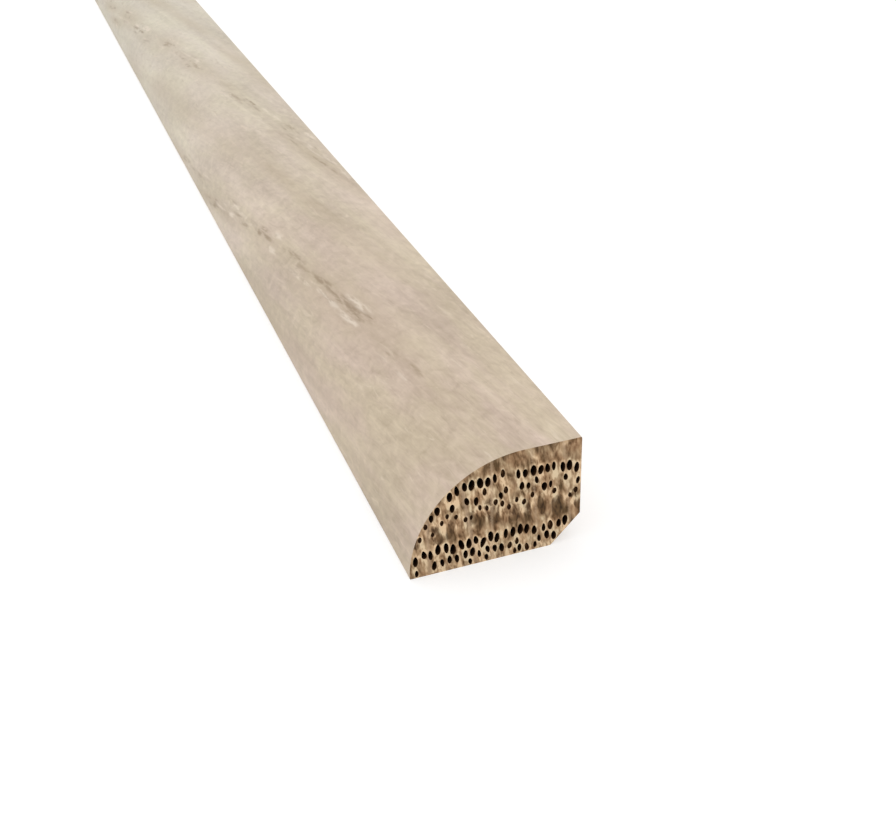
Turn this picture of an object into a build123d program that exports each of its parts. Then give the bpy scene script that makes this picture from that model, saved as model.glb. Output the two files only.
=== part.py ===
"""Shoe moulding: one straight stick of oak trim with a quarter-round nose.

The stick lies on its floor face, along Y, with the nose towards -X and the wall face towards +X.
The origin is the middle of its footprint, on the floor, and +Z is up. Sizes are in millimetres.
"""

import os

from build123d import *

# Driving dimensions
length = 1981.2  # one stick, 78 in
width = 19.05  # across the floor, from toe to wall face, 3/4 in
height = 12.7  # up the wall, 1/2 in
top_flat = 6.35  # level strip on top, between the wall face and the nose, 1/4 in
heel_relief = 3.35  # leg of the 45 degree cut that clears the corner of wall and floor
arris = 0.15  # sanded rounding of the long corners

# Lines that the section runs between
toe_x = -width / 2
wall_x = width / 2
nose_centre = (wall_x - top_flat, 0)
nose_run = width - top_flat

with BuildPart() as shoe_moulding:
    with BuildSketch(Plane.XZ) as section:
        with BuildLine() as outline:
            floor_line = Line((toe_x, 0), (wall_x - heel_relief, 0))
            heel_line = Line(floor_line @ 1, (wall_x, heel_relief))
            wall_line = Line(heel_line @ 1, (wall_x, height))
            top_line = Line(wall_line @ 1, (wall_x - top_flat, height))
            # Level where it leaves the top and plumb at the toe: a true quarter circle
            # for as long as the run of the nose equals the height.
            EllipticalCenterArc(nose_centre, nose_run, height, start_angle=90, arc_size=90)
        make_face()
    extrude(amount=length / 2, both=True)

    # The nose runs into the top without a corner, so that edge is left out.
    nose_start = Vector(nose_centre[0], 0, height)
    corners = shoe_moulding.edges().filter_by(Axis.Y).sort_by_distance(nose_start)[1:]
    fillet(corners, radius=arris)

shoe_moulding.part.label = "shoe_moulding"

os.makedirs("parts", exist_ok=True)
export_step(shoe_moulding.part, "parts/shoe_moulding.step")
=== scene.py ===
"""Looks of the shoe moulding.

It has a pale wash on the show face, bare planed oak behind it and open pores at the ends. Sizes are in
millimetres until a mesh or a lamp is made. Distances along the stick start at its near end.
"""

import math
import random
from collections import namedtuple

import bpy
import numpy as np
from mathutils import Matrix, Vector
from mathutils.geometry import delaunay_2d_cdt


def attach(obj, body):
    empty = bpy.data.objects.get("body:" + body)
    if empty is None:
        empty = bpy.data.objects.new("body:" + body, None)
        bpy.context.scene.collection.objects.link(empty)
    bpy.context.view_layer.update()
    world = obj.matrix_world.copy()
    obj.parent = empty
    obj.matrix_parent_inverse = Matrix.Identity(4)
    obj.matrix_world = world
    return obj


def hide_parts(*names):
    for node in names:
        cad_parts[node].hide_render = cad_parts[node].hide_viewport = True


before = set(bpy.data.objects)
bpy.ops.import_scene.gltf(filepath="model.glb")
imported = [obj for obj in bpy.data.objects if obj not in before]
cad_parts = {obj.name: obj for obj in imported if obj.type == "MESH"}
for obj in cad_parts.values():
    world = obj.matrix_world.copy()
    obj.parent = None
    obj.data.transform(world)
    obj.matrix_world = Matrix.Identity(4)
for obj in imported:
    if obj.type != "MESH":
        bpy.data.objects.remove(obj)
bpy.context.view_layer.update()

MM = 0.001
TAU = 2 * math.pi

# The stick, as its solid has it
LENGTH = 1981.2
WIDTH = 19.05
HEIGHT = 12.7
TOP_FLAT = 6.35
HEEL_RELIEF = 3.35
ARRIS = 0.15
NOSE_X = WIDTH / 2 - TOP_FLAT  # the nose turns about this line on the floor
NEAR_Y = -LENGTH / 2

# How finely the stick is divided
STRIP_SLICES = (230, 75, 75, 75, 110)  # slices in each fifth of its length, closest at the near end
STRIPS = len(STRIP_SLICES)  # equal lengths, which the bake map lays side by side
STRIP_LENGTH = LENGTH / STRIPS
STATIONS = sum(STRIP_SLICES)
NOSE_STEPS = 90
FLAT_STEPS = 28
HOLD_STEP = 0.12  # between the ends of a bare face and the points that keep its shading flat
END_PITCH = 0.21  # between points on an end face
END_JITTER = 0.03
MOUTH_STEPS = 16  # points round a pore

# Grain: it leaves the near end sloping across the show face and wanders back further on
GRAIN_SEED = 12
DRIFT_SLOPE = 0.128
DRIFT_WAVE = 2600.0
LINES = range(-9, 10)  # of open grain, numbered across the face
LINE_GAP = 9.0  # between lines, across the face
LINE_START = 18.2  # where line 0 leaves the near end
FAINT_LINE = 0.3  # every other line is this strong
FIRST_DASH = 25.0  # the near end is calm up to about here
DASH_STEP = (9, 19)  # from one dash of a line to the next
DASH_REACH = (5, 12)  # half a dash's length
DASH_LEAN = 1.15  # a dash slopes this many times as much as its line
DASH_ROOM = 0.8  # dashes keep this far from the sides of the face
GROOVE_DEPTH = 0.06

# Growth rings, seen on the ends
NEAR_SEED = 5
FAR_SEED = 8
RING_GAP = 7.35
RING_TOP = 10.15  # height of ring 0's first row of pores at the near end
RING_CROWN_X = 2.0
PORE_ROWS = 3
PORE_GAP = 0.83  # between pores of a row
PORE_HALF_WIDTH = 0.295
PORE_HALF_HEIGHT = 0.60
PLACE_TRIES = 4  # at finding room for a pore
SECTION_MIDDLE = (2.0, 5.5)  # a pore too near the edge moves towards this point
EDGE_STEP = 0.07  # in steps of this size
EDGE_TRIES = 8
EDGE_ROOM = 0.05  # until it is this far from the edge
SHALLOW_DROP = 2.8  # pores further below their ring's first row are filled nearly to the mouth
FILLED_SHARE = 0.12  # of the other pores, which are filled too
OPEN_DEPTH = 1.2
FILLED_DEPTH = 0.3

# Places on the noise's third axis, so that each kind of face has noise of its own
BARE_SLICE = 40.0
END_SLICE = 100.0

# Bake map: the ends lie along its foot, and above them each strip has a show band and a bare band
MAP_PX = 1024
MAP_MARGIN = 0.004
END_ROOM_PX = 138
END_PX = 10.2  # to a millimetre of an end
FAR_END_LEFT = 0.21
STRIP_PX = 176  # from one strip to the next
SHOW_PX = 105
BARE_START_PX = 109
BARE_PX = 63

# Camera, fitted to the edges of the stick in the photograph
FRAME_WIDTH_PX = 896
FOCAL_PX = 1222.96
CAMERA_FROM_NEAR_END = (-37.649, -95.032, 78.501)
CAMERA_YAW = -19.067
CAMERA_DOWN = 30.658
CAMERA_ROLL = -1.855

# The wash multiplies its mean colour by these where it is thinnest and thickest
WORN_WASH = (0.70, 0.672, 0.636, 1.0)
FULL_WASH = (1.30, 1.328, 1.364, 1.0)

# Studio, in metres and watts
FLOOR_HALF = 30.0
FLOOR_LIT = 0.85  # the floor's grey where it lights the stick
FLOOR_SEEN = 0.60  # its grey for the camera, where a glow brings it up to white
FLOOR_GLOW = 0.49
WORLD_LEVEL = 0.85

SHOW, BARE, END, HOLLOW = range(4)  # material slots of the stick

Lamp = namedtuple("Lamp", "name place size power")
Oval = namedtuple("Oval", "x z half_width half_height lean depth taper")
Patch = namedtuple("Patch", "x z half_width half_height lean strength")
Ring = namedtuple("Ring", "number bow row_gap scatter late")
Ray = namedtuple("Ray", "x half_width lean")
StickEnd = namedtuple("StickEnd", "station inward seed ring_top map_left")

LAMPS = (
    Lamp("key", (-0.2, -0.5, 2.4), 3.0, 15.5),
    Lamp("fill", (-2.4, -0.9, 0.7), 1.5, 3.5),
)

# Lowest first: number, bow, drop from one row of pores to the next, their scatter, share of late wood
RINGS = (
    Ring(-1, 0.003, 1.05, 0.40, 0.9),
    Ring(0, 0.014, 1.75, 0.36, 1.0),
    Ring(1, 0.014, 1.50, 0.36, 0.3),
)


# Camera


def make_camera():
    yaw, down, roll = (math.radians(a) for a in (CAMERA_YAW, CAMERA_DOWN, CAMERA_ROLL))
    level_right = Vector((math.cos(yaw), math.sin(yaw), 0))
    level_ahead = Vector((-math.sin(yaw), math.cos(yaw), 0))
    up = Vector((0, 0, 1))
    ahead = level_ahead * math.cos(down) - up * math.sin(down)
    over = up * math.cos(down) + level_ahead * math.sin(down)
    right = level_right * math.cos(roll) + over * math.sin(roll)
    top = over * math.cos(roll) - level_right * math.sin(roll)

    lens = bpy.data.cameras.new("camera")
    lens.sensor_width = 36
    lens.lens = FOCAL_PX / FRAME_WIDTH_PX * lens.sensor_width
    lens.clip_start = 0.01
    lens.clip_end = 100
    camera = bpy.data.objects.new("camera", lens)
    bpy.context.scene.collection.objects.link(camera)
    turn = Matrix((right, top, -ahead)).transposed().to_4x4()
    place = Vector(CAMERA_FROM_NEAR_END) + Vector((0, NEAR_Y, 0))
    camera.matrix_world = Matrix.Translation(place * MM) @ turn
    bpy.context.scene.camera = camera


# Section of the stick


def arc(centre, radius, start, end, steps):
    """Points along an arc, less its last. Angles are in degrees, from +X towards +Z."""
    angles = np.radians(np.linspace(start, end, steps + 1)[:-1])
    return np.array(centre) + radius * np.column_stack((np.cos(angles), np.sin(angles)))


def run(start, end, steps):
    """Points along a straight line, less its last."""
    shares = np.linspace(0, 1, steps + 1)[:-1, None]
    return np.array(start) + shares * (np.array(end) - np.array(start))


def held_run(start, end):
    """A straight line, less its last point, with a short step at each end that keeps its shading flat."""
    start, end = np.array(start), np.array(end)
    step = HOLD_STEP * (end - start) / np.linalg.norm(end - start)
    return np.array((start, start + step, end - step))


def section_loop():
    """Points round the section, from the toe over the nose and top to the wall and back along the floor.

    Returns the points and, for each, the material of the face that starts there.
    """
    toe_x = -WIDTH / 2
    wall_x = WIDTH / 2
    lap = ARRIS * math.tan(math.radians(22.5))  # how far an arris reaches along a 45 degree corner
    nose_start = 180 - math.degrees(math.asin(ARRIS / HEIGHT))
    heel_high = np.array((wall_x - ARRIS, HEEL_RELIEF + lap))
    heel_low = np.array((wall_x - HEEL_RELIEF - lap, ARRIS))
    slant = ARRIS * np.array((math.sqrt(0.5), -math.sqrt(0.5)))
    stretches = (
        (SHOW, arc((toe_x + ARRIS, ARRIS), ARRIS, 270, 180, 3)),
        (SHOW, arc((NOSE_X, 0), HEIGHT, nose_start, 90, NOSE_STEPS)),
        (SHOW, run((NOSE_X, HEIGHT), (wall_x - ARRIS, HEIGHT), FLAT_STEPS)),
        (SHOW, arc((wall_x - ARRIS, HEIGHT - ARRIS), ARRIS, 90, 0, 3)),
        (BARE, held_run((wall_x, HEIGHT - ARRIS), (wall_x, heel_high[1]))),
        (BARE, arc(heel_high, ARRIS, 0, -45, 2)),
        (BARE, held_run(heel_high + slant, heel_low + slant)),
        (BARE, arc(heel_low, ARRIS, -45, -90, 2)),
        (BARE, held_run((heel_low[0], 0), (toe_x + ARRIS, 0))),
    )
    points = np.concatenate([stretch for _, stretch in stretches])
    finishes = np.concatenate([np.full(len(stretch), finish) for finish, stretch in stretches])
    return points, finishes


def outward(points):
    """Unit normals of a closed loop that runs clockwise."""
    along = np.roll(points, -1, axis=0) - np.roll(points, 1, axis=0)
    normals = np.column_stack((-along[:, 1], along[:, 0]))
    return normals / np.linalg.norm(normals, axis=1)[:, None]


def inside_section(x, z, margin):
    """Whether a point lies in the section, at least this far from its edges."""
    in_nose = x > NOSE_X or math.hypot(x - NOSE_X, z) < HEIGHT - margin
    in_heel = WIDTH / 2 - x + z > HEEL_RELIEF + margin * math.sqrt(2)
    return in_nose and in_heel and margin < z < HEIGHT - margin and x < WIDTH / 2 - margin


# Grain of the long faces


def drift(along):
    """How far the grain has wandered across the faces by this distance along the stick."""
    return -DRIFT_SLOPE * DRIFT_WAVE / TAU * np.sin(TAU * along / DRIFT_WAVE)


def drift_slope(along):
    return -DRIFT_SLOPE * math.cos(TAU * along / DRIFT_WAVE)


def show_grain(across, along):
    """Dashes of open grain, wash pooled beside them and the dim veins they lie in, each from 0 to 1.

    They come over a grid on the show face, with a row for each distance along the stick.
    """
    draw = random.Random(GRAIN_SEED)
    dark, pooled, vein = np.zeros((3, len(along), len(across)))
    widest = across[-1]

    def stroke(grid, at_across, at_along, half_length, half_width, strength):
        low, high = np.searchsorted(along, (at_along - half_length, at_along + half_length))
        steps = along[low:high, None] - at_along
        off_line = across[None, :] - at_across - DASH_LEAN * drift_slope(at_along) * steps
        taper = np.clip(1 - (steps / half_length) ** 2, 0, 1)
        mark = strength * taper * np.exp(-((off_line / half_width) ** 2))
        grid[low:high] = np.maximum(grid[low:high], mark)

    for line in LINES:
        boldness = FAINT_LINE if line % 2 else 1.0
        at_along = draw.uniform(FIRST_DASH, 2 * FIRST_DASH)
        while at_along < LENGTH:
            middle = LINE_START + LINE_GAP * line + drift(at_along) + draw.gauss(0, 0.6)
            slope = DASH_LEAN * drift_slope(at_along)
            strength = boldness * draw.uniform(0.5, 1.0)
            reach = draw.uniform(*DASH_REACH)
            if DASH_ROOM < middle < widest - DASH_ROOM:
                half_width = draw.uniform(0.4, 0.9)
                stroke(dark, middle, at_along, reach, half_width, strength * draw.uniform(0.45, 0.75))
                for _ in range(draw.randint(2, 5)):
                    step = draw.uniform(-0.8, 0.8) * reach
                    at_across = middle + slope * step + draw.gauss(0, 0.7)
                    half_length = reach * draw.uniform(0.25, 0.55)
                    half_width = draw.uniform(0.25, 0.50)
                    darkness = strength * draw.uniform(0.6, 1.0)
                    stroke(dark, at_across, at_along + step, half_length, half_width, darkness)
                for _ in range(draw.randint(2, 3)):
                    step = draw.uniform(-0.8, 0.8) * reach
                    beside = draw.choice((-1, 1)) * draw.uniform(0.6, 1.5)
                    at_across = middle + slope * step + beside
                    half_width = draw.uniform(0.3, 0.6)
                    stroke(pooled, at_across, at_along + step, 0.6 * reach, half_width, strength)
            stroke(vein, middle, at_along, 2.5 * reach, draw.uniform(1.0, 3.5), draw.uniform(0.2, 0.9))
            at_along += draw.uniform(*DASH_STEP)
    return dark, pooled, vein


# Pores and rings of the ends


def ring_height(x, ring_top, ring):
    """Height of a ring's first row of pores, where ring 0 is the one at the given top."""
    return ring_top + RING_GAP * ring.number - ring.bow * (x - RING_CROWN_X) ** 2


def outline_of(oval, steps, grow=0.0, scale=1.0):
    """Points round an oval with slightly pointed ends, grown and then scaled."""
    angles = np.arange(steps) * TAU / steps
    side = (oval.half_width + grow) * scale * np.cos(angles) * np.abs(np.cos(angles)) ** 0.08
    side *= 1 + oval.taper * np.sin(angles)
    rise = (oval.half_height + 1.2 * grow) * scale * np.sin(angles)
    turned_x = oval.x + side * math.cos(oval.lean) - rise * math.sin(oval.lean)
    turned_z = oval.z + side * math.sin(oval.lean) + rise * math.cos(oval.lean)
    return np.column_stack((turned_x, turned_z))


def distance_from(oval, points, grow=0.0, below=0.0):
    """How far points are from an oval's middle, or from a spot this far below it.

    The distance is 1 on the oval's outline, grown by the given amount.
    """
    dx, dz = points[:, 0] - oval.x, points[:, 1] - oval.z
    side = dx * math.cos(oval.lean) + dz * math.sin(oval.lean)
    rise = dz * math.cos(oval.lean) - dx * math.sin(oval.lean) + below
    return np.hypot(side / (oval.half_width + grow), rise / (oval.half_height + 1.2 * grow))


def moved_inside(pore):
    """The pore, moved in from the section's edge where it has to be, or None if that isn't enough."""
    inward = np.array(SECTION_MIDDLE) - (pore.x, pore.z)
    inward = EDGE_STEP * inward / np.linalg.norm(inward)
    for _ in range(EDGE_TRIES):
        if all(inside_section(*point, EDGE_ROOM) for point in outline_of(pore, 12)):
            return pore
        pore = pore._replace(x=pore.x + inward[0], z=pore.z + inward[1])
    return None


def stand_apart(pore, other):
    """Whether two pores have wood between them."""
    across = (pore.x - other.x) / (pore.half_width + other.half_width + 0.10)
    upright = (pore.z - other.z) / (pore.half_height + other.half_height + 0.06)
    reach = math.hypot(across, upright)
    return reach > 2 or (reach > 1 and distance_from(other, outline_of(pore, MOUTH_STEPS)).min() > 1.25)


def broad_rays(draw):
    rays = []
    x = -WIDTH / 2 + draw.uniform(0.5, 3)
    while x < WIDTH / 2:
        rays.append(Ray(x, draw.uniform(0.06, 0.20), draw.gauss(-0.05, 0.04)))
        x += draw.uniform(2.6, 5.0)
    return rays


def on_ray(ray, x, z):
    """How far across a ray points are, where 1 is on its edge."""
    return np.abs(x - ray.x - ray.lean * (z - HEIGHT / 2)) / ray.half_width


def has_room(pore, pores, rays):
    apart = all(stand_apart(pore, other) for other in pores)
    return apart and all(on_ray(ray, pore.x, pore.z) > 0.5 for ray in rays)


def draw_pore(draw, x, z, drop):
    """A pore at about this place, smaller and shallower the further it is below its ring's first row."""
    grown = draw.uniform(0.85, 1.15)
    half_width = (PORE_HALF_WIDTH - 0.02 * drop) * grown * draw.uniform(0.82, 1.12)
    half_height = (PORE_HALF_HEIGHT - 0.07 * drop) * grown
    lean = math.radians(draw.gauss(2, 5))
    is_filled = drop > SHALLOW_DROP or draw.random() < FILLED_SHARE
    depth = FILLED_DEPTH if is_filled else OPEN_DEPTH * (1 - 0.12 * drop)
    taper = draw.uniform(-0.25, 0.25)
    return moved_inside(Oval(x, z, half_width, half_height, lean, depth, taper))


def end_pores(draw, ring_top, rays):
    """Pores of one end, clear of each other and of the edge. Lower rows have fewer and smaller ones."""
    pores = []
    for ring in RINGS:
        start = -WIDTH / 2 - draw.uniform(0, PORE_GAP)
        for row in range(PORE_ROWS):
            drop = row * ring.row_gap
            for column in range(int(WIDTH / PORE_GAP) + 2):
                if draw.random() > 0.98 - 0.07 * drop:
                    continue
                for _ in range(PLACE_TRIES):
                    x = start + (column + 0.5 * (row % 2)) * PORE_GAP + draw.gauss(0, 0.09)
                    rise = draw.uniform(-1, 1) * (ring.scatter + 0.14 * drop)
                    pore = draw_pore(draw, x, ring_height(x, ring_top, ring) - drop + rise, drop)
                    if pore and has_room(pore, pores, rays):
                        pores.append(pore)
                        break
    return pores


def late_patches(draw, ring_top):
    """Brown patches of dense late wood, low in each ring."""
    patches = []
    for ring in RINGS:
        x = -WIDTH / 2 + draw.uniform(0, 1)
        while x < WIDTH / 2:
            z = ring_height(x, ring_top, ring) - draw.uniform(3.8, 5.3)
            half_width = draw.uniform(0.38, 0.80)
            half_height = draw.uniform(0.95, 1.6)
            lean = math.radians(draw.gauss(8, 12))
            strength = ring.late * draw.uniform(0.6, 1)
            patches.append(Patch(x, z, half_width, half_height, lean, strength))
            x += draw.uniform(1.4, 2.4)
    return patches


def pale_rims(points, pores, draw):
    """Cream tissue round each pore and hanging below it, from 0 to 1."""
    pale = np.zeros(len(points))
    for pore in pores:
        near = distance_from(pore, points, 0.10, below=0.12)
        rim = np.clip((1.55 - near) / 0.4, 0, 1) * draw.uniform(0.35, 0.9)
        under = distance_from(pore, points, 0.16, below=pore.half_height + 0.55)
        tail = np.exp(-(under**2)) * draw.uniform(0.5, 1.0)
        pale = np.maximum(pale, np.maximum(rim, tail))
    return pale


def late_wood(points, patches):
    """How far points are in a patch of late wood, from 0 to 1."""
    late = np.zeros(len(points))
    for patch in patches:
        share = np.clip((1.3 - distance_from(patch, points)) / 0.55, 0, 1)
        late = np.maximum(late, patch.strength * share)
    return late


def ray_tissue(points, rays):
    """How far points are on a broad ray, from 0 to 1."""
    plain = np.zeros(len(points))
    for ray in rays:
        plain = np.maximum(plain, np.clip(1.5 - on_ray(ray, points[:, 0], points[:, 1]), 0, 1))
    return plain


def end_face(outline, seed, ring_top):
    """Triangles of one end, with a hollow at each pore.

    Returns the flat points after the outline's own, how deep each lies, the attributes of outline and points,
    the triangles over both, and whether each triangle lines a pore.
    """
    draw = random.Random(seed)
    rays = broad_rays(draw)
    pores = end_pores(draw, ring_top, rays)
    patches = late_patches(draw, ring_top)
    points, depths, owners, painted_shade_levels = [], [], [], []
    edges = [(i, (i + 1) % len(outline)) for i in range(len(outline))]

    def put(spots, depth, owner, tint):
        for spot in spots:
            points.append(spot)
            depths.append(depth)
            owners.append(owner)
            painted_shade_levels.append(tint)

    for index, pore in enumerate(pores):
        first = len(outline) + len(points)
        mouth = outline_of(pore, MOUTH_STEPS)
        edges += [(first + k, first + (k + 1) % len(mouth)) for k in range(len(mouth))]
        # Mouth, waist and bottom of the hollow, with how light each is: painted shade that darkens an open
        # pore towards its bottom, while a filled pore's bottom stays light
        light = 1 - pore.depth / OPEN_DEPTH
        put(mouth, 0.0, index, 0.55)
        put(outline_of(pore, 12, scale=0.78), 0.4 * pore.depth, index, 0.15 + 0.2 * light)
        put(outline_of(pore, 6, scale=0.4), pore.depth, index, light)

    def clear_of_pores(spots, grow):
        """Those of these points that are in the section and this far from every pore's edge."""
        spots = np.array([s for s in spots if inside_section(*s, 0.08)]).reshape(-1, 2)
        for pore in pores:
            spots = spots[distance_from(pore, spots, grow) > 1]
        return spots

    for pore in pores:
        put(clear_of_pores(outline_of(pore, MOUTH_STEPS, grow=0.11), 0.10), 0.0, -1, 1.0)
    row_height = END_PITCH * math.sqrt(0.75)
    grid = [
        (
            -WIDTH / 2 + (column + 0.5 * (row % 2)) * END_PITCH + draw.uniform(-END_JITTER, END_JITTER),
            row * row_height + draw.uniform(-END_JITTER, END_JITTER),
        )
        for row in range(1, int(HEIGHT / row_height))
        for column in range(int(WIDTH / END_PITCH) + 1)
    ]
    put(clear_of_pores(grid, 0.2), 0.0, -1, 1.0)

    flat = np.concatenate((outline, points))
    _, _, faces, sources, _, _ = delaunay_2d_cdt([Vector(p) for p in flat], edges, [], 1, 1e-6)
    origin = [source[0] for source in sources]
    triangles = np.array([[origin[v] for v in face] for face in faces])
    owner_of = np.concatenate((np.full(len(outline), -1), owners))[triangles]
    lines_pore = (owner_of[:, 0] >= 0) & (owner_of == owner_of[:, :1]).all(axis=1)
    attributes = {
        "pale": pale_rims(flat, pores, draw),
        "late": late_wood(flat, patches),
        "ray": ray_tissue(flat, rays),
        "hollow": np.concatenate((np.ones(len(outline)), painted_shade_levels)),
    }
    return np.array(points), np.array(depths), attributes, triangles, lines_pore


# The stick's mesh


def slice_places():
    """Distances along the stick of the cuts between its slices, with both ends."""
    slice_lengths = STRIP_LENGTH / np.repeat(STRIP_SLICES, STRIP_SLICES)
    return np.concatenate(((0,), np.cumsum(slice_lengths)))


def bake_bands(lengths, finishes):
    """Show band and bare band of each strip: lowest map coordinate, scale, start round the section."""
    show = lengths[np.flatnonzero(finishes == BARE)[0]]
    bare = lengths[-1] - show
    bands = []
    for strip in range(STRIPS):
        low = (END_ROOM_PX + strip * STRIP_PX) / MAP_PX
        show_band = (low, SHOW_PX / MAP_PX / show, 0.0)
        bare_band = (low + BARE_START_PX / MAP_PX, BARE_PX / MAP_PX / bare, show)
        bands.append((show_band, bare_band))
    return np.array(bands)


def long_faces(finishes, lengths, along):
    """Quads of the long faces, their materials, and their corners' places in the grain and the bake map."""
    count = len(finishes)
    station, corner = np.meshgrid(np.arange(STATIONS), np.arange(count), indexing="ij")
    station, corner = station.ravel(), corner.ravel()
    beside = (corner + 1) % count
    quads = np.column_stack(
        (
            station * count + beside,
            (station + 1) * count + beside,
            (station + 1) * count + corner,
            station * count + corner,
        )
    )
    quad_across = lengths[np.column_stack((corner + 1, corner + 1, corner, corner))]
    quad_along = along[np.column_stack((station, station + 1, station + 1, station))]
    is_bare = finishes[corner] == BARE
    third = BARE_SLICE * is_bare[:, None] * np.ones((1, 4))
    grain = np.stack((quad_across - drift(quad_along), quad_along, third), axis=2)

    strip = np.repeat(np.arange(STRIPS), STRIP_SLICES)[station]
    low, scale, start = bake_bands(lengths, finishes)[strip, is_bare.astype(int)].T[:, :, None]
    map_u = MAP_MARGIN + (1 - 2 * MAP_MARGIN) * (quad_along / STRIP_LENGTH - strip[:, None])
    map_v = low + (quad_across - start) * scale
    bake = np.stack((map_u, map_v), axis=2)
    return quads.tolist(), finishes[corner], grain.reshape(-1, 3), bake.reshape(-1, 2)


def build_mesh(vertices, faces, materials, values, grain, bake, count):
    """The stick's mesh. Its long faces have this many points at each station."""
    mesh = bpy.data.meshes.new("moulding_stick")
    mesh.from_pydata((np.concatenate(vertices) * MM).tolist(), [], faces)
    materials = np.concatenate(materials).astype(np.int32)
    mesh.polygons.foreach_set("material_index", materials)
    mesh.polygons.foreach_set("use_smooth", np.isin(materials, (SHOW, BARE)))
    ends_of_edges = np.empty(2 * len(mesh.edges), np.int32)
    mesh.edges.foreach_get("vertices", ends_of_edges)
    station = ends_of_edges.reshape(-1, 2) // count
    sharp = ((station == 0) | (station == STATIONS)).all(axis=1)
    mesh.attributes.new("sharp_edge", "BOOLEAN", "EDGE").data.foreach_set("value", sharp)
    for name, blocks in values.items():
        layer = mesh.attributes.new(name, "FLOAT", "POINT")
        layer.data.foreach_set("value", np.concatenate(blocks).astype(np.float32))
    layer = mesh.attributes.new("grain", "FLOAT_VECTOR", "CORNER")
    layer.data.foreach_set("vector", np.concatenate(grain).astype(np.float32).ravel())
    layer = mesh.uv_layers.new(name="OFBake")
    layer.uv.foreach_set("vector", np.concatenate(bake).astype(np.float32).ravel())
    mesh.update()
    return mesh


def make_stick():
    loop, finishes = section_loop()
    count = len(loop)
    sides = np.linalg.norm(np.roll(loop, -1, axis=0) - loop, axis=1)
    lengths = np.concatenate(((0,), np.cumsum(sides)))
    along = slice_places()

    # Points of the long faces, sunk where the grain is open
    show_points = np.flatnonzero(finishes == SHOW)
    marks = np.zeros((3, STATIONS + 1, count))
    marks[:, :, show_points] = show_grain(lengths[show_points], along)
    dark, pooled, vein = marks
    sunk = loop[None] - (GROOVE_DEPTH * dark)[:, :, None] * outward(loop)[None]
    ys = np.broadcast_to(along[:, None] + NEAR_Y, dark.shape)
    vertices = [np.stack((sunk[:, :, 0], ys, sunk[:, :, 1]), axis=2).reshape(-1, 3)]
    values = {"groove": [dark.ravel()], "pooled": [pooled.ravel()], "vein": [vein.ravel()]}
    for name in ("pale", "late", "ray", "hollow"):
        values[name] = [np.zeros(dark.size)]

    faces, finish_of_faces, grain, bake = long_faces(finishes, lengths, along)
    materials, grain, bake = [finish_of_faces], [grain], [bake]
    far_ring_top = RING_TOP + float(drift(LENGTH)) % RING_GAP
    ends = (
        StickEnd(0, 1.0, NEAR_SEED, RING_TOP, MAP_MARGIN),
        StickEnd(STATIONS, -1.0, FAR_SEED, far_ring_top, FAR_END_LEFT),
    )
    for end in ends:
        outline = sunk[end.station][::-1]  # the other way round, so that its faces turn up
        outline_index = (end.station * count + np.arange(count))[::-1]
        points, depths, attributes, triangles, lines_pore = end_face(outline, end.seed, end.ring_top)
        first = sum(len(block) for block in vertices)
        end_y = NEAR_Y + along[end.station] + end.inward * depths
        vertices.append(np.column_stack((points[:, 0], end_y, points[:, 1])))
        for name, blocks in values.items():
            if name in attributes:
                blocks[0][outline_index] = attributes[name][:count]
                blocks.append(attributes[name][count:])
            else:
                blocks.append(np.zeros(len(points)))

        turned = triangles if end.inward > 0 else triangles[:, ::-1]
        numbers = np.concatenate((outline_index, first + np.arange(len(points))))
        faces += numbers[turned].tolist()
        materials.append(np.where(lines_pore, HOLLOW, END))
        corners = np.concatenate((outline, points))[turned].reshape(-1, 2)
        third = np.full(len(corners), END_SLICE * (end.station + 1))
        grain.append(np.column_stack((corners, third)))
        map_u = end.map_left + (corners[:, 0] + WIDTH / 2) * END_PX / MAP_PX
        map_v = MAP_MARGIN + corners[:, 1] * END_PX / MAP_PX
        bake.append(np.column_stack((map_u, map_v)))

    mesh = build_mesh(vertices, faces, materials, values, grain, bake, count)
    for material in (washed_face(), bare_oak(), end_grain(), pore_hollow_shade()):
        mesh.materials.append(material)
    stick = bpy.data.objects.new("moulding_stick", mesh)
    bpy.context.scene.collection.objects.link(stick)
    return stick


# Materials


def tone(red, green, blue):
    """A colour written as it shows on a screen, 0 to 255, as the linear colour that shaders take."""
    linear = [((c / 255 + 0.055) / 1.055) ** 2.4 if c > 10 else c / 255 / 12.92 for c in (red, green, blue)]
    return (*linear, 1.0)


def add(tree, kind, inputs=None, **settings):
    """A new node. An input given another node's output is linked to it, and one given a value is set."""
    node = tree.nodes.new(kind)
    for name, value in settings.items():
        setattr(node, name, value)
    for name, value in (inputs or {}).items():
        if isinstance(value, bpy.types.NodeSocket):
            tree.links.new(value, node.inputs[name])
        else:
            node.inputs[name].default_value = value
    return node


def new_material(name, roughness, specular):
    material = bpy.data.materials.new(name)
    material.use_nodes = True
    tree = material.node_tree
    shader = tree.nodes["Principled BSDF"]
    shader.inputs["Roughness"].default_value = roughness
    shader.inputs["Specular IOR Level"].default_value = specular
    return material, tree, shader


def attribute(tree, name, output="Fac"):
    return add(tree, "ShaderNodeAttribute", attribute_name=name).outputs[output]


def field(tree, place, across, along, detail=2.0, roughness=0.5, warp=0.0, slice_at=0.0):
    """Noise of about 0 to 1, with spots 1/across wide and 1/along long, in millimetres."""
    scaled = add(
        tree,
        "ShaderNodeVectorMath",
        {0: place, 1: (across, along, 1.0), 2: (slice_at, slice_at, slice_at)},
        operation="MULTIPLY_ADD",
    )
    noise = add(
        tree,
        "ShaderNodeTexNoise",
        {
            "Vector": scaled.outputs[0],
            "Scale": 1.0,
            "Detail": detail,
            "Roughness": roughness,
            "Distortion": warp,
        },
    )
    return noise.outputs[0]


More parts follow.
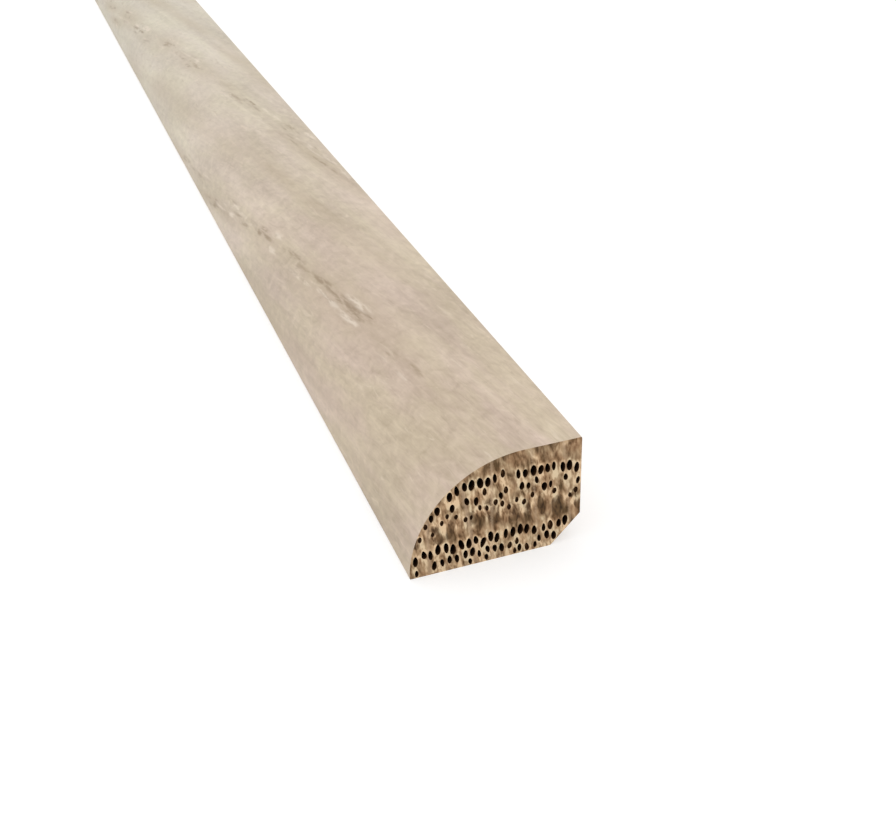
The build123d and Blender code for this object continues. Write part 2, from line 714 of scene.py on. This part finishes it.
def between(tree, value, low, high, out_low=0.0, out_high=1.0):
    """Value eased from low to high onto the two given results, and held beyond them."""
    node = add(
        tree,
        "ShaderNodeMapRange",
        {"Value": value, "From Min": low, "From Max": high, "To Min": out_low, "To Max": out_high},
        interpolation_type="SMOOTHSTEP",
    )
    return node.outputs[0]


def maths(tree, operation, first, second, third=0.0):
    node = add(tree, "ShaderNodeMath", {0: first, 1: second, 2: third}, operation=operation)
    return node.outputs[0]


def blend(tree, share, first, second):
    """Colours mixed by a share from 0 to 1."""
    node = add(tree, "ShaderNodeMix", {0: share, 6: first, 7: second}, data_type="RGBA")
    return node.outputs[2]


def gain(tree, base, *parts):
    """Base plus each part's weight times how far its noise is from one half."""
    total = base - sum(weight for _, weight in parts) / 2
    for value, weight in parts:
        total = maths(tree, "MULTIPLY_ADD", value, weight, total)
    return total


def scaled_colour(tree, colour, amount):
    node = add(tree, "ShaderNodeVectorMath", {0: colour, "Scale": amount}, operation="SCALE")
    return node.outputs[0]


def bump(tree, shader, height, depth):
    """Relief this deep, in millimetres, from a height of 0 to 1."""
    node = add(tree, "ShaderNodeBump", {"Height": height, "Strength": 1.0, "Distance": depth * MM})
    tree.links.new(node.outputs[0], shader.inputs["Normal"])


def washed_face():
    """Thin matt wash over oak: bands, mottling, wisps, dark dashes of open grain, wash pooled beside them,
    and a painted sheen, lighter and greyer, strongest about 300 mm from the near end.
    """
    material, tree, shader = new_material("washed_face", 0.55, 0.4)
    place = attribute(tree, "grain", "Vector")
    band = field(tree, place, 0.16, 0.014, detail=1.0)
    tint = field(tree, place, 0.15, 0.035, detail=4.0, roughness=0.65, slice_at=5.0)
    cloud = field(tree, place, 0.13, 0.04, detail=1.0, slice_at=31.0)
    mottle = field(tree, place, 0.85, 0.45, detail=4.0, roughness=0.6, warp=0.6, slice_at=47.0)
    streak = field(tree, place, 0.55, 0.025, detail=3.0, roughness=0.6, warp=0.3, slice_at=57.0)
    fibre = field(tree, place, 3.0, 0.32, detail=3.0, roughness=0.6, warp=0.8, slice_at=83.0)
    speck = field(tree, place, 1.5, 0.26, detail=3.0, roughness=0.65, slice_at=19.0)
    wisp = field(tree, place, 1.4, 0.22, detail=3.0, roughness=0.6, warp=1.0, slice_at=71.0)

    apart = add(tree, "ShaderNodeSeparateXYZ", {0: place})
    # Painted sheen: the colour turns lighter and greyer from the near end to about 290 mm, as a reflection at
    # a grazing view would show it, then falls back to under half of that by 900 mm and stays there
    painted_sheen = between(tree, apart.outputs[1], -20.0, 290.0)
    painted_sheen = maths(tree, "MULTIPLY", painted_sheen, between(tree, apart.outputs[1], 900.0, 300.0, 0.45, 1.0))
    yellower = between(tree, tint, 0.66, 0.34)
    # The wash's own tones, and the lighter, greyer tones that the painted sheen blends to
    warm = blend(tree, yellower, tone(199, 178, 161), tone(198, 181, 156))
    grey = blend(tree, yellower, tone(206, 198, 183), tone(206, 199, 180))
    base = blend(tree, painted_sheen, warm, grey)
    broad = gain(tree, 0.0, (band, 0.78), (cloud, 0.78))
    fine = gain(tree, 0.0, (mottle, 0.88), (streak, 0.62), (fibre, 0.50))
    # The painted sheen also flattens the broad and fine pattern where it is strongest
    level = maths(tree, "MULTIPLY_ADD", broad, between(tree, painted_sheen, 0.0, 1.0, 1.0, 0.40), 0.5)
    level = maths(tree, "MULTIPLY_ADD", fine, between(tree, painted_sheen, 0.0, 1.0, 1.0, 0.70), level)
    shade = blend(tree, level, WORN_WASH, FULL_WASH)
    colour = add(tree, "ShaderNodeVectorMath", {0: base, 1: shade}, operation="MULTIPLY").outputs[0]
    colour = blend(tree, between(tree, wisp, 0.60, 0.74, 0.0, 0.45), colour, tone(221, 205, 185))
    colour = blend(tree, between(tree, wisp, 0.40, 0.28, 0.0, 0.40), colour, tone(176, 158, 137))
    colour = blend(tree, maths(tree, "MULTIPLY", attribute(tree, "vein"), 0.55), colour, tone(178, 159, 133))
    ragged = maths(tree, "MULTIPLY", attribute(tree, "groove"), between(tree, speck, 0.30, 0.65, 0.2, 1.5))
    colour = blend(tree, between(tree, ragged, 0.12, 0.95, 0.0, 0.66), colour, tone(138, 116, 90))
    pool = maths(tree, "MULTIPLY", attribute(tree, "pooled"), between(tree, speck, 0.38, 0.60, 0.1, 1.1))
    colour = blend(tree, between(tree, pool, 0.1, 1.0, 0.0, 0.72), colour, tone(226, 212, 195))
    tree.links.new(colour, shader.inputs["Base Color"])

    rough = gain(tree, 0.55, (mottle, 0.12), (fibre, 0.16))
    tree.links.new(rough, shader.inputs["Roughness"])
    height = gain(tree, 0.5, (fibre, 0.6), (mottle, 0.5))
    bump(tree, shader, height, 0.03)
    return material


def bare_oak():
    """Planed oak with no finish: straight grain, fine open pores, ray flecks and the planer's ripple."""
    material, tree, shader = new_material("bare_oak", 0.7, 0.3)
    place = attribute(tree, "grain", "Vector")
    band = field(tree, place, 0.28, 0.004, detail=2.0, slice_at=11.0)
    streak = field(tree, place, 1.6, 0.02, detail=3.0, roughness=0.6, slice_at=43.0)
    fibre = field(tree, place, 7.0, 0.12, detail=3.0, slice_at=67.0)
    tick = field(tree, place, 5.0, 0.22, detail=1.0, slice_at=29.0)
    fleck = field(tree, place, 0.55, 0.9, detail=1.0, slice_at=91.0)

    base = blend(tree, between(tree, band, 0.38, 0.62), tone(186, 154, 115), tone(206, 177, 138))
    level = gain(tree, 1.0, (streak, 0.30), (fibre, 0.18))
    colour = scaled_colour(tree, base, level)
    pores = between(tree, tick, 0.62, 0.72, 0.0, 0.75)
    colour = blend(tree, pores, colour, tone(118, 88, 58))
    colour = blend(tree, between(tree, fleck, 0.66, 0.74, 0.0, 0.35), colour, tone(218, 194, 158))
    tree.links.new(colour, shader.inputs["Base Color"])

    apart = add(tree, "ShaderNodeSeparateXYZ", {0: place})
    ripple = maths(tree, "SINE", maths(tree, "MULTIPLY", apart.outputs[1], TAU / 2.6), 0.0)
    height = maths(tree, "MULTIPLY_ADD", ripple, 0.18, gain(tree, 0.5, (fibre, 0.6)))
    height = maths(tree, "MULTIPLY_ADD", pores, -0.8, height)
    rough = gain(tree, 0.7, (fibre, 0.2))
    tree.links.new(rough, shader.inputs["Roughness"])
    bump(tree, shader, height, 0.03)
    return material


def end_grain():
    """Sawn oak across the grain: cream flames, brown late wood, thin rays and pale rims to the pores."""
    material, tree, shader = new_material("end_grain", 0.85, 0.15)
    flat_place = attribute(tree, "grain", "Vector")
    # Flames lean over to the toe as they rise
    apart = add(tree, "ShaderNodeSeparateXYZ", {0: flat_place})
    leaning = maths(tree, "MULTIPLY_ADD", apart.outputs[1], 0.12, apart.outputs[0])
    joined = add(tree, "ShaderNodeCombineXYZ", {0: leaning, 1: apart.outputs[1], 2: apart.outputs[2]})
    place = joined.outputs[0]

    flame = field(tree, place, 1.10, 0.45, detail=3.0, roughness=0.5, warp=0.5)
    thread = field(tree, place, 3.4, 1.0, detail=2.0, roughness=0.5, warp=0.25, slice_at=37.0)
    warmth = field(tree, place, 0.7, 0.45, detail=2.0, slice_at=13.0)
    ray = field(tree, place, 1.8, 0.05, detail=2.0, slice_at=53.0)

    pale = maths(tree, "MULTIPLY", attribute(tree, "pale"), between(tree, thread, 0.25, 0.6, 0.35, 1.0))
    brown = maths(tree, "MULTIPLY", attribute(tree, "late"), between(tree, flame, 0.35, 0.65, 1.35, 0.65))
    level = gain(tree, 0.51, (flame, 2.1), (thread, 0.70))
    level = maths(tree, "MULTIPLY_ADD", pale, 0.58, level)
    level = maths(tree, "MULTIPLY_ADD", between(tree, ray, 0.60, 0.70), -0.15, level)
    ramp = add(tree, "ShaderNodeValToRGB", {0: level})
    stops = (
        (0.0, tone(70, 52, 32)),
        (0.25, tone(102, 78, 52)),
        (0.5, tone(152, 122, 92)),
        (0.75, tone(190, 161, 127)),
        (1.0, tone(234, 208, 172)),
    )
    while len(ramp.color_ramp.elements) < len(stops):
        ramp.color_ramp.elements.new(0.5)
    for element, (position, colour) in zip(ramp.color_ramp.elements, stops):
        element.position = position
        element.color = colour
    dense = blend(tree, between(tree, thread, 0.30, 0.70), tone(60, 43, 27), tone(114, 88, 60))
    dense_share = maths(tree, "SUBTRACT", between(tree, brown, 0.08, 0.60, 0.0, 0.95), pale)
    colour = blend(tree, dense_share, ramp.outputs[0], dense)
    warm = between(tree, warmth, 0.35, 0.65)
    tint = blend(tree, warm, (1.04, 0.98, 0.94, 1.0), (0.97, 1.0, 1.0, 1.0))
    colour = add(tree, "ShaderNodeVectorMath", {0: colour, 1: tint}, operation="MULTIPLY").outputs[0]
    plain = maths(tree, "MULTIPLY", attribute(tree, "ray"), between(tree, thread, 0.3, 0.7, 0.75, 0.45))
    colour = blend(tree, plain, colour, tone(192, 164, 135))
    tree.links.new(colour, shader.inputs["Base Color"])

    rough = gain(tree, 0.85, (thread, 0.15))
    tree.links.new(rough, shader.inputs["Roughness"])
    bump(tree, shader, level, 0.04)
    return material


def pore_hollow_shade():
    """The inside of a pore: dark brown at its mouth and nearly black further in, which is painted shade, and
    light brown where filled.
    """
    material, tree, shader = new_material("pore_hollow_shade", 1.0, 0.0)
    light = attribute(tree, "hollow")
    # Painted shade: the lower the attribute, the deeper the point lies in an open pore and the nearer to
    # black it is painted
    colour = blend(tree, between(tree, light, 0.0, 0.5), tone(16, 9, 6), tone(58, 38, 24))
    colour = blend(tree, between(tree, light, 0.5, 1.0), colour, tone(128, 95, 64))
    tree.links.new(colour, shader.inputs["Base Color"])
    return material


# Studio


def plain_grey(level):
    return (level, level, level, 1)


def seen_directly(tree):
    """1 for rays from the camera and for reflected or clear ones, which show the backdrop, else 0."""
    path = add(tree, "ShaderNodeLightPath").outputs
    mirrored = maths(tree, "MAXIMUM", path["Is Glossy Ray"], path["Is Transmission Ray"])
    return maths(tree, "MAXIMUM", path["Is Camera Ray"], mirrored)


def make_floor():
    """A wide white floor, which the camera sees as white with the stick's soft shadow."""
    mesh = bpy.data.meshes.new("floor")
    corners = [(FLOOR_HALF * x, FLOOR_HALF * y, 0) for x, y in ((-1, -1), (1, -1), (1, 1), (-1, 1))]
    mesh.from_pydata(corners, [], [(0, 1, 2, 3)])
    material = bpy.data.materials.new("floor")
    material.use_nodes = True
    tree = material.node_tree
    tree.nodes.clear()
    lighting = add(tree, "ShaderNodeBsdfDiffuse", {"Color": plain_grey(FLOOR_LIT)})
    shown = add(tree, "ShaderNodeBsdfDiffuse", {"Color": plain_grey(FLOOR_SEEN)})
    glow = add(tree, "ShaderNodeEmission", {"Color": plain_grey(1), "Strength": FLOOR_GLOW})
    both = add(tree, "ShaderNodeAddShader", {0: shown.outputs[0], 1: glow.outputs[0]})
    shaders = {0: seen_directly(tree), 1: lighting.outputs[0], 2: both.outputs[0]}
    pick = add(tree, "ShaderNodeMixShader", shaders)
    add(tree, "ShaderNodeOutputMaterial", {0: pick.outputs[0]})
    mesh.materials.append(material)
    floor = bpy.data.objects.new("floor", mesh)
    bpy.context.scene.collection.objects.link(floor)


def make_light():
    """Even white surroundings, a broad soft lamp overhead and a weak one low on the toe's side."""
    world = bpy.data.worlds.new("studio")
    world.use_nodes = True
    tree = world.node_tree
    tree.nodes.clear()
    around = add(tree, "ShaderNodeBackground", {"Color": plain_grey(1), "Strength": WORLD_LEVEL})
    backdrop = add(tree, "ShaderNodeBackground", {"Color": plain_grey(1), "Strength": 1.0})
    shaders = {0: seen_directly(tree), 1: around.outputs[0], 2: backdrop.outputs[0]}
    pick = add(tree, "ShaderNodeMixShader", shaders)
    add(tree, "ShaderNodeOutputWorld", {0: pick.outputs[0]})
    bpy.context.scene.world = world

    for lamp in LAMPS:
        add_lamp(lamp)


def add_lamp(lamp):
    """A square soft lamp that faces the stick's middle."""
    light = bpy.data.lights.new(lamp.name, "AREA")
    light.shape = "SQUARE"
    light.size = lamp.size
    light.energy = lamp.power
    holder = bpy.data.objects.new(lamp.name, light)
    holder.location = lamp.place
    holder.rotation_euler = (-holder.location).to_track_quat("-Z", "Y").to_euler()
    bpy.context.scene.collection.objects.link(holder)


make_camera()
stick = make_stick()
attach(stick, "root")
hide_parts("shoe_moulding")
make_floor()
make_light()
bpy.context.scene.view_settings.view_transform = "Standard"
